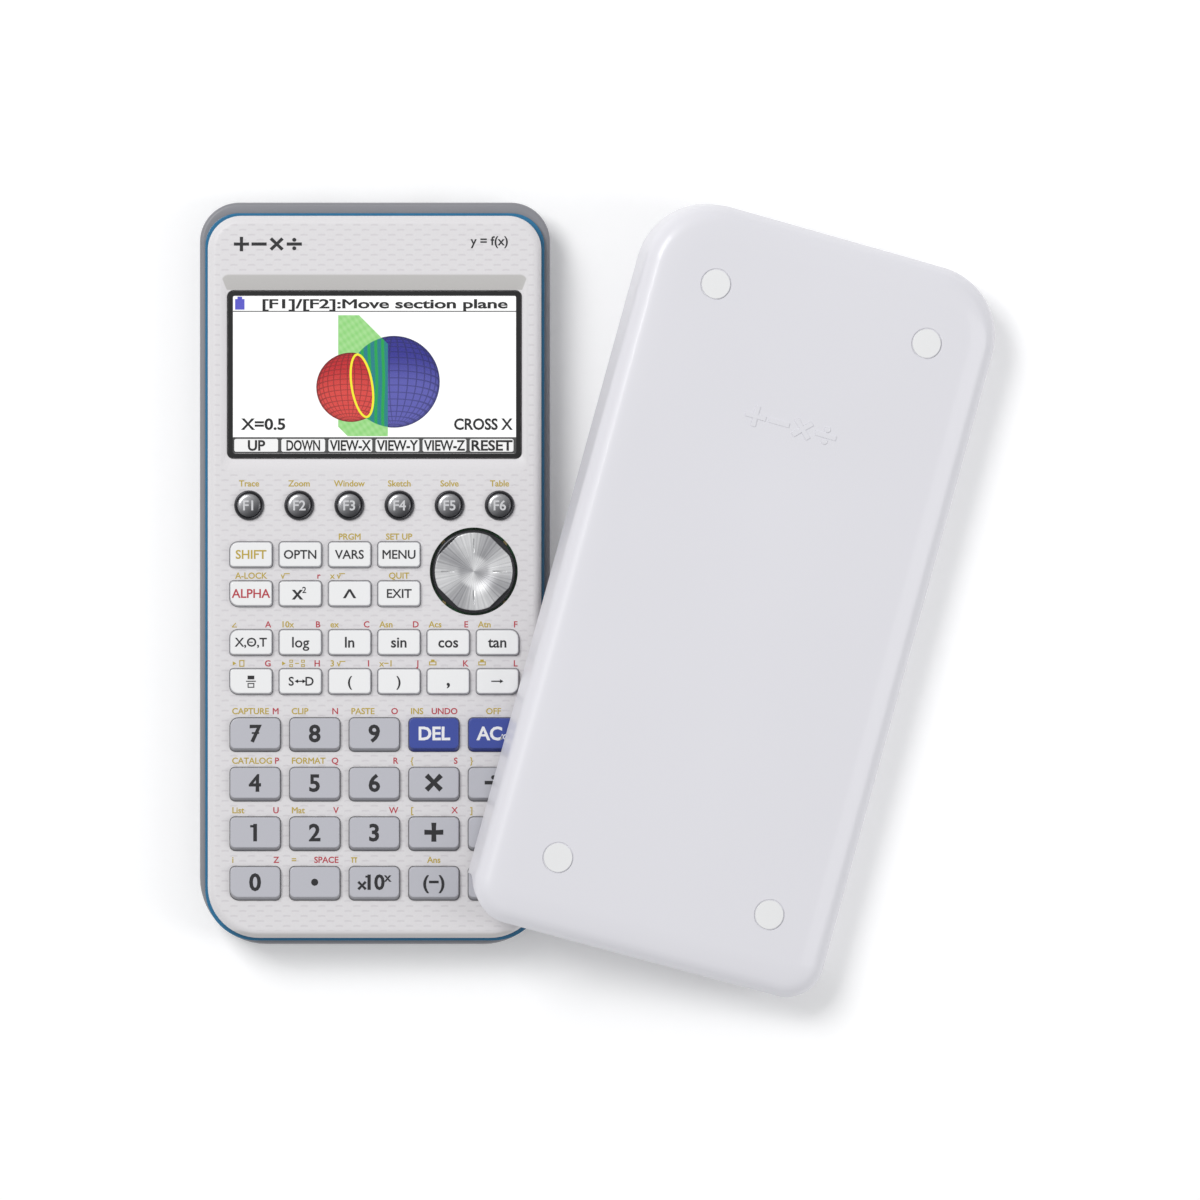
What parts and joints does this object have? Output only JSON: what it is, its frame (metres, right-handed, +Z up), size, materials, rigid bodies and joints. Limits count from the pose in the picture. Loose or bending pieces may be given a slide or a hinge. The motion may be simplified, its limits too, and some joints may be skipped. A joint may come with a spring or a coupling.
{
  "type": "graphing calculator",
  "caption": "Handheld graphing calculator with a colour display, sprung keys, a rocking cursor disc, a battery door on its back and a slide-on hard cover lying across one corner.",
  "frame": {"origin": "middle of the calculator's flat back face, which lies on the table", "axes": "+X to the right across the keys, +Y along the calculator towards the display, +Z up out of the keys"},
  "size_m": [0.2021, 0.2022, 0.0328],
  "materials": {
    "gray_case": "fine matte moulded",
    "white_face": "fine embossed texture",
    "blue_band": "glossy moulded",
    "window": "clear with a black printed border",
    "display": "lit colour panel",
    "board": "green solder mask",
    "mat_rubber": "moulded silicone",
    "cell_jacket": "shrink-wrapped steel cells",
    "satin_chrome": "satin chrome plating",
    "smoked_chrome": "smoked chrome plating",
    "dark_plastic": "moulded",
    "pale_key": "satin moulded",
    "gray_key": "satin moulded",
    "blue_key": "satin moulded",
    "cover_plastic": "satin moulded hard shell"
  },
  "bodies": {
    "case": {"rear_case": "gray_case", "front_case": "white_face", "side_band": "blue_band", "display_window": "window", "display_module": "display", "circuit_board": "board", "key_mat": "mat_rubber", "batteries": "cell_jacket", "connector_board": "board"},
    "key_f1": {"key_f1": "smoked_chrome"},
    "key_f2": {"key_f2": "smoked_chrome"},
    "key_f3": {"key_f3": "smoked_chrome"},
    "key_f4": {"key_f4": "smoked_chrome"},
    "key_f5": {"key_f5": "smoked_chrome"},
    "key_f6": {"key_f6": "smoked_chrome"},
    "key_shift": {"key_shift": "pale_key"},
    "key_option": {"key_option": "pale_key"},
    "key_variables": {"key_variables": "pale_key"},
    "key_menu": {"key_menu": "pale_key"},
    "key_alpha": {"key_alpha": "pale_key"},
    "key_square": {"key_square": "pale_key"},
    "key_power": {"key_power": "pale_key"},
    "key_exit": {"key_exit": "pale_key"},
    "key_variable_x": {"key_variable_x": "pale_key"},
    "key_log": {"key_log": "pale_key"},
    "key_ln": {"key_ln": "pale_key"},
    "key_sin": {"key_sin": "pale_key"},
    "key_cos": {"key_cos": "pale_key"},
    "key_tan": {"key_tan": "pale_key"},
    "key_fraction": {"key_fraction": "pale_key"},
    "key_convert": {"key_convert": "pale_key"},
    "key_open_bracket": {"key_open_bracket": "pale_key"},
    "key_close_bracket": {"key_close_bracket": "pale_key"},
    "key_comma": {"key_comma": "pale_key"},
    "key_arrow": {"key_arrow": "pale_key"},
    "key_7": {"key_7": "gray_key"},
    "key_8": {"key_8": "gray_key"},
    "key_9": {"key_9": "gray_key"},
    "key_delete": {"key_delete": "blue_key"},
    "key_on": {"key_on": "blue_key"},
    "key_4": {"key_4": "gray_key"},
    "key_5": {"key_5": "gray_key"},
    "key_6": {"key_6": "gray_key"},
    "key_multiply": {"key_multiply": "gray_key"},
    "key_divide": {"key_divide": "gray_key"},
    "key_1": {"key_1": "gray_key"},
    "key_2": {"key_2": "gray_key"},
    "key_3": {"key_3": "gray_key"},
    "key_plus": {"key_plus": "gray_key"},
    "key_minus": {"key_minus": "gray_key"},
    "key_0": {"key_0": "gray_key"},
    "key_point": {"key_point": "gray_key"},
    "key_exponent": {"key_exponent": "gray_key"},
    "key_negate": {"key_negate": "gray_key"},
    "key_execute": {"key_execute": "gray_key"},
    "cursor_pivot": {"cursor_pivot": "dark_plastic"},
    "cursor_disc": {"cursor_disc": "satin_chrome"},
    "battery_cover": {"battery_cover": "gray_case"},
    "restart_button": {"restart_button": "dark_plastic"},
    "slide_cover": {"slide_cover": "cover_plastic"}
  },
  "joints": [
    {"name": "cover_lift", "type": "slide", "parent": "case", "child": "slide_cover", "axis": [0, 0, 1], "range_m": [0, 0.1]},
    {"name": "battery_cover_hinge", "type": "hinge", "parent": "case", "child": "battery_cover", "pos_m": [0, 0.07655, 0.0002], "axis": [1, 0, 0], "range_deg": [0, 60]},
    {"name": "cursor_up_down", "type": "hinge", "parent": "case", "child": "cursor_pivot", "pos_m": [0.0252, 0.00045, 0.0148], "axis": [1, 0, 0], "range_deg": [-4, 4], "stiffness_Nm_per_rad": 0.115, "deforming": ["key_mat"]},
    {"name": "cursor_left_right", "type": "hinge", "parent": "cursor_pivot", "child": "cursor_disc", "pos_m": [0.0252, 0.00045, 0.0148], "axis": [0, 1, 0], "range_deg": [-4, 4], "stiffness_Nm_per_rad": 0.115, "deforming": ["key_mat"]},
    {"name": "restart_press", "type": "slide", "parent": "case", "child": "restart_button", "axis": [0, 0, 1], "range_m": [0, 0.0006], "stiffness_N_per_m": 500},
    {"name": "key_f1_press", "type": "slide", "parent": "case", "child": "key_f1", "axis": [0, 0, -1], "range_m": [0, 0.0012], "stiffness_N_per_m": 500, "deforming": ["key_mat"]},
    {"name": "key_f2_press", "type": "slide", "parent": "case", "child": "key_f2", "axis": [0, 0, -1], "range_m": [0, 0.0012], "stiffness_N_per_m": 500, "deforming": ["key_mat"]},
    {"name": "key_f3_press", "type": "slide", "parent": "case", "child": "key_f3", "axis": [0, 0, -1], "range_m": [0, 0.0012], "stiffness_N_per_m": 500, "deforming": ["key_mat"]},
    {"name": "key_f4_press", "type": "slide", "parent": "case", "child": "key_f4", "axis": [0, 0, -1], "range_m": [0, 0.0012], "stiffness_N_per_m": 500, "deforming": ["key_mat"]},
    {"name": "key_f5_press", "type": "slide", "parent": "case", "child": "key_f5", "axis": [0, 0, -1], "range_m": [0, 0.0012], "stiffness_N_per_m": 500, "deforming": ["key_mat"]},
    {"name": "key_f6_press", "type": "slide", "parent": "case", "child": "key_f6", "axis": [0, 0, -1], "range_m": [0, 0.0012], "stiffness_N_per_m": 500, "deforming": ["key_mat"]},
    {"name": "key_shift_press", "type": "slide", "parent": "case", "child": "key_shift", "axis": [0, 0, -1], "range_m": [0, 0.0012], "stiffness_N_per_m": 500, "deforming": ["key_mat"]},
    {"name": "key_option_press", "type": "slide", "parent": "case", "child": "key_option", "axis": [0, 0, -1], "range_m": [0, 0.0012], "stiffness_N_per_m": 500, "deforming": ["key_mat"]},
    {"name": "key_variables_press", "type": "slide", "parent": "case", "child": "key_variables", "axis": [0, 0, -1], "range_m": [0, 0.0012], "stiffness_N_per_m": 500, "deforming": ["key_mat"]},
    {"name": "key_menu_press", "type": "slide", "parent": "case", "child": "key_menu", "axis": [0, 0, -1], "range_m": [0, 0.0012], "stiffness_N_per_m": 500, "deforming": ["key_mat"]},
    {"name": "key_alpha_press", "type": "slide", "parent": "case", "child": "key_alpha", "axis": [0, 0, -1], "range_m": [0, 0.0012], "stiffness_N_per_m": 500, "deforming": ["key_mat"]},
    {"name": "key_square_press", "type": "slide", "parent": "case", "child": "key_square", "axis": [0, 0, -1], "range_m": [0, 0.0012], "stiffness_N_per_m": 500, "deforming": ["key_mat"]},
    {"name": "key_power_press", "type": "slide", "parent": "case", "child": "key_power", "axis": [0, 0, -1], "range_m": [0, 0.0012], "stiffness_N_per_m": 500, "deforming": ["key_mat"]},
    {"name": "key_exit_press", "type": "slide", "parent": "case", "child": "key_exit", "axis": [0, 0, -1], "range_m": [0, 0.0012], "stiffness_N_per_m": 500, "deforming": ["key_mat"]},
    {"name": "key_variable_x_press", "type": "slide", "parent": "case", "child": "key_variable_x", "axis": [0, 0, -1], "range_m": [0, 0.0012], "stiffness_N_per_m": 500, "deforming": ["key_mat"]},
    {"name": "key_log_press", "type": "slide", "parent": "case", "child": "key_log", "axis": [0, 0, -1], "range_m": [0, 0.0012], "stiffness_N_per_m": 500, "deforming": ["key_mat"]},
    {"name": "key_ln_press", "type": "slide", "parent": "case", "child": "key_ln", "axis": [0, 0, -1], "range_m": [0, 0.0012], "stiffness_N_per_m": 500, "deforming": ["key_mat"]},
    {"name": "key_sin_press", "type": "slide", "parent": "case", "child": "key_sin", "axis": [0, 0, -1], "range_m": [0, 0.0012], "stiffness_N_per_m": 500, "deforming": ["key_mat"]},
    {"name": "key_cos_press", "type": "slide", "parent": "case", "child": "key_cos", "axis": [0, 0, -1], "range_m": [0, 0.0012], "stiffness_N_per_m": 500, "deforming": ["key_mat"]},
    {"name": "key_tan_press", "type": "slide", "parent": "case", "child": "key_tan", "axis": [0, 0, -1], "range_m": [0, 0.0012], "stiffness_N_per_m": 500, "deforming": ["key_mat"]},
    {"name": "key_fraction_press", "type": "slide", "parent": "case", "child": "key_fraction", "axis": [0, 0, -1], "range_m": [0, 0.0012], "stiffness_N_per_m": 500, "deforming": ["key_mat"]},
    {"name": "key_convert_press", "type": "slide", "parent": "case", "child": "key_convert", "axis": [0, 0, -1], "range_m": [0, 0.0012], "stiffness_N_per_m": 500, "deforming": ["key_mat"]},
    {"name": "key_open_bracket_press", "type": "slide", "parent": "case", "child": "key_open_bracket", "axis": [0, 0, -1], "range_m": [0, 0.0012], "stiffness_N_per_m": 500, "deforming": ["key_mat"]},
    {"name": "key_close_bracket_press", "type": "slide", "parent": "case", "child": "key_close_bracket", "axis": [0, 0, -1], "range_m": [0, 0.0012], "stiffness_N_per_m": 500, "deforming": ["key_mat"]},
    {"name": "key_comma_press", "type": "slide", "parent": "case", "child": "key_comma", "axis": [0, 0, -1], "range_m": [0, 0.0012], "stiffness_N_per_m": 500, "deforming": ["key_mat"]},
    {"name": "key_arrow_press", "type": "slide", "parent": "case", "child": "key_arrow", "axis": [0, 0, -1], "range_m": [0, 0.0012], "stiffness_N_per_m": 500, "deforming": ["key_mat"]},
    {"name": "key_7_press", "type": "slide", "parent": "case", "child": "key_7", "axis": [0, 0, -1], "range_m": [0, 0.0012], "stiffness_N_per_m": 500, "deforming": ["key_mat"]},
    {"name": "key_8_press", "type": "slide", "parent": "case", "child": "key_8", "axis": [0, 0, -1], "range_m": [0, 0.0012], "stiffness_N_per_m": 500, "deforming": ["key_mat"]},
    {"name": "key_9_press", "type": "slide", "parent": "case", "child": "key_9", "axis": [0, 0, -1], "range_m": [0, 0.0012], "stiffness_N_per_m": 500, "deforming": ["key_mat"]},
    {"name": "key_delete_press", "type": "slide", "parent": "case", "child": "key_delete", "axis": [0, 0, -1], "range_m": [0, 0.0012], "stiffness_N_per_m": 500, "deforming": ["key_mat"]},
    {"name": "key_on_press", "type": "slide", "parent": "case", "child": "key_on", "axis": [0, 0, -1], "range_m": [0, 0.0012], "stiffness_N_per_m": 500, "deforming": ["key_mat"]},
    {"name": "key_4_press", "type": "slide", "parent": "case", "child": "key_4", "axis": [0, 0, -1], "range_m": [0, 0.0012], "stiffness_N_per_m": 500, "deforming": ["key_mat"]},
    {"name": "key_5_press", "type": "slide", "parent": "case", "child": "key_5", "axis": [0, 0, -1], "range_m": [0, 0.0012], "stiffness_N_per_m": 500, "deforming": ["key_mat"]},
    {"name": "key_6_press", "type": "slide", "parent": "case", "child": "key_6", "axis": [0, 0, -1], "range_m": [0, 0.0012], "stiffness_N_per_m": 500, "deforming": ["key_mat"]},
    {"name": "key_multiply_press", "type": "slide", "parent": "case", "child": "key_multiply", "axis": [0, 0, -1], "range_m": [0, 0.0012], "stiffness_N_per_m": 500, "deforming": ["key_mat"]},
    {"name": "key_divide_press", "type": "slide", "parent": "case", "child": "key_divide", "axis": [0, 0, -1], "range_m": [0, 0.0012], "stiffness_N_per_m": 500, "deforming": ["key_mat"]},
    {"name": "key_1_press", "type": "slide", "parent": "case", "child": "key_1", "axis": [0, 0, -1], "range_m": [0, 0.0012], "stiffness_N_per_m": 500, "deforming": ["key_mat"]},
    {"name": "key_2_press", "type": "slide", "parent": "case", "child": "key_2", "axis": [0, 0, -1], "range_m": [0, 0.0012], "stiffness_N_per_m": 500, "deforming": ["key_mat"]},
    {"name": "key_3_press", "type": "slide", "parent": "case", "child": "key_3", "axis": [0, 0, -1], "range_m": [0, 0.0012], "stiffness_N_per_m": 500, "deforming": ["key_mat"]},
    {"name": "key_plus_press", "type": "slide", "parent": "case", "child": "key_plus", "axis": [0, 0, -1], "range_m": [0, 0.0012], "stiffness_N_per_m": 500, "deforming": ["key_mat"]},
    {"name": "key_minus_press", "type": "slide", "parent": "case", "child": "key_minus", "axis": [0, 0, -1], "range_m": [0, 0.0012], "stiffness_N_per_m": 500, "deforming": ["key_mat"]},
    {"name": "key_0_press", "type": "slide", "parent": "case", "child": "key_0", "axis": [0, 0, -1], "range_m": [0, 0.0012], "stiffness_N_per_m": 500, "deforming": ["key_mat"]},
    {"name": "key_point_press", "type": "slide", "parent": "case", "child": "key_point", "axis": [0, 0, -1], "range_m": [0, 0.0012], "stiffness_N_per_m": 500, "deforming": ["key_mat"]},
    {"name": "key_exponent_press", "type": "slide", "parent": "case", "child": "key_exponent", "axis": [0, 0, -1], "range_m": [0, 0.0012], "stiffness_N_per_m": 500, "deforming": ["key_mat"]},
    {"name": "key_negate_press", "type": "slide", "parent": "case", "child": "key_negate", "axis": [0, 0, -1], "range_m": [0, 0.0012], "stiffness_N_per_m": 500, "deforming": ["key_mat"]},
    {"name": "key_execute_press", "type": "slide", "parent": "case", "child": "key_execute", "axis": [0, 0, -1], "range_m": [0, 0.0012], "stiffness_N_per_m": 500, "deforming": ["key_mat"]}
  ]
}
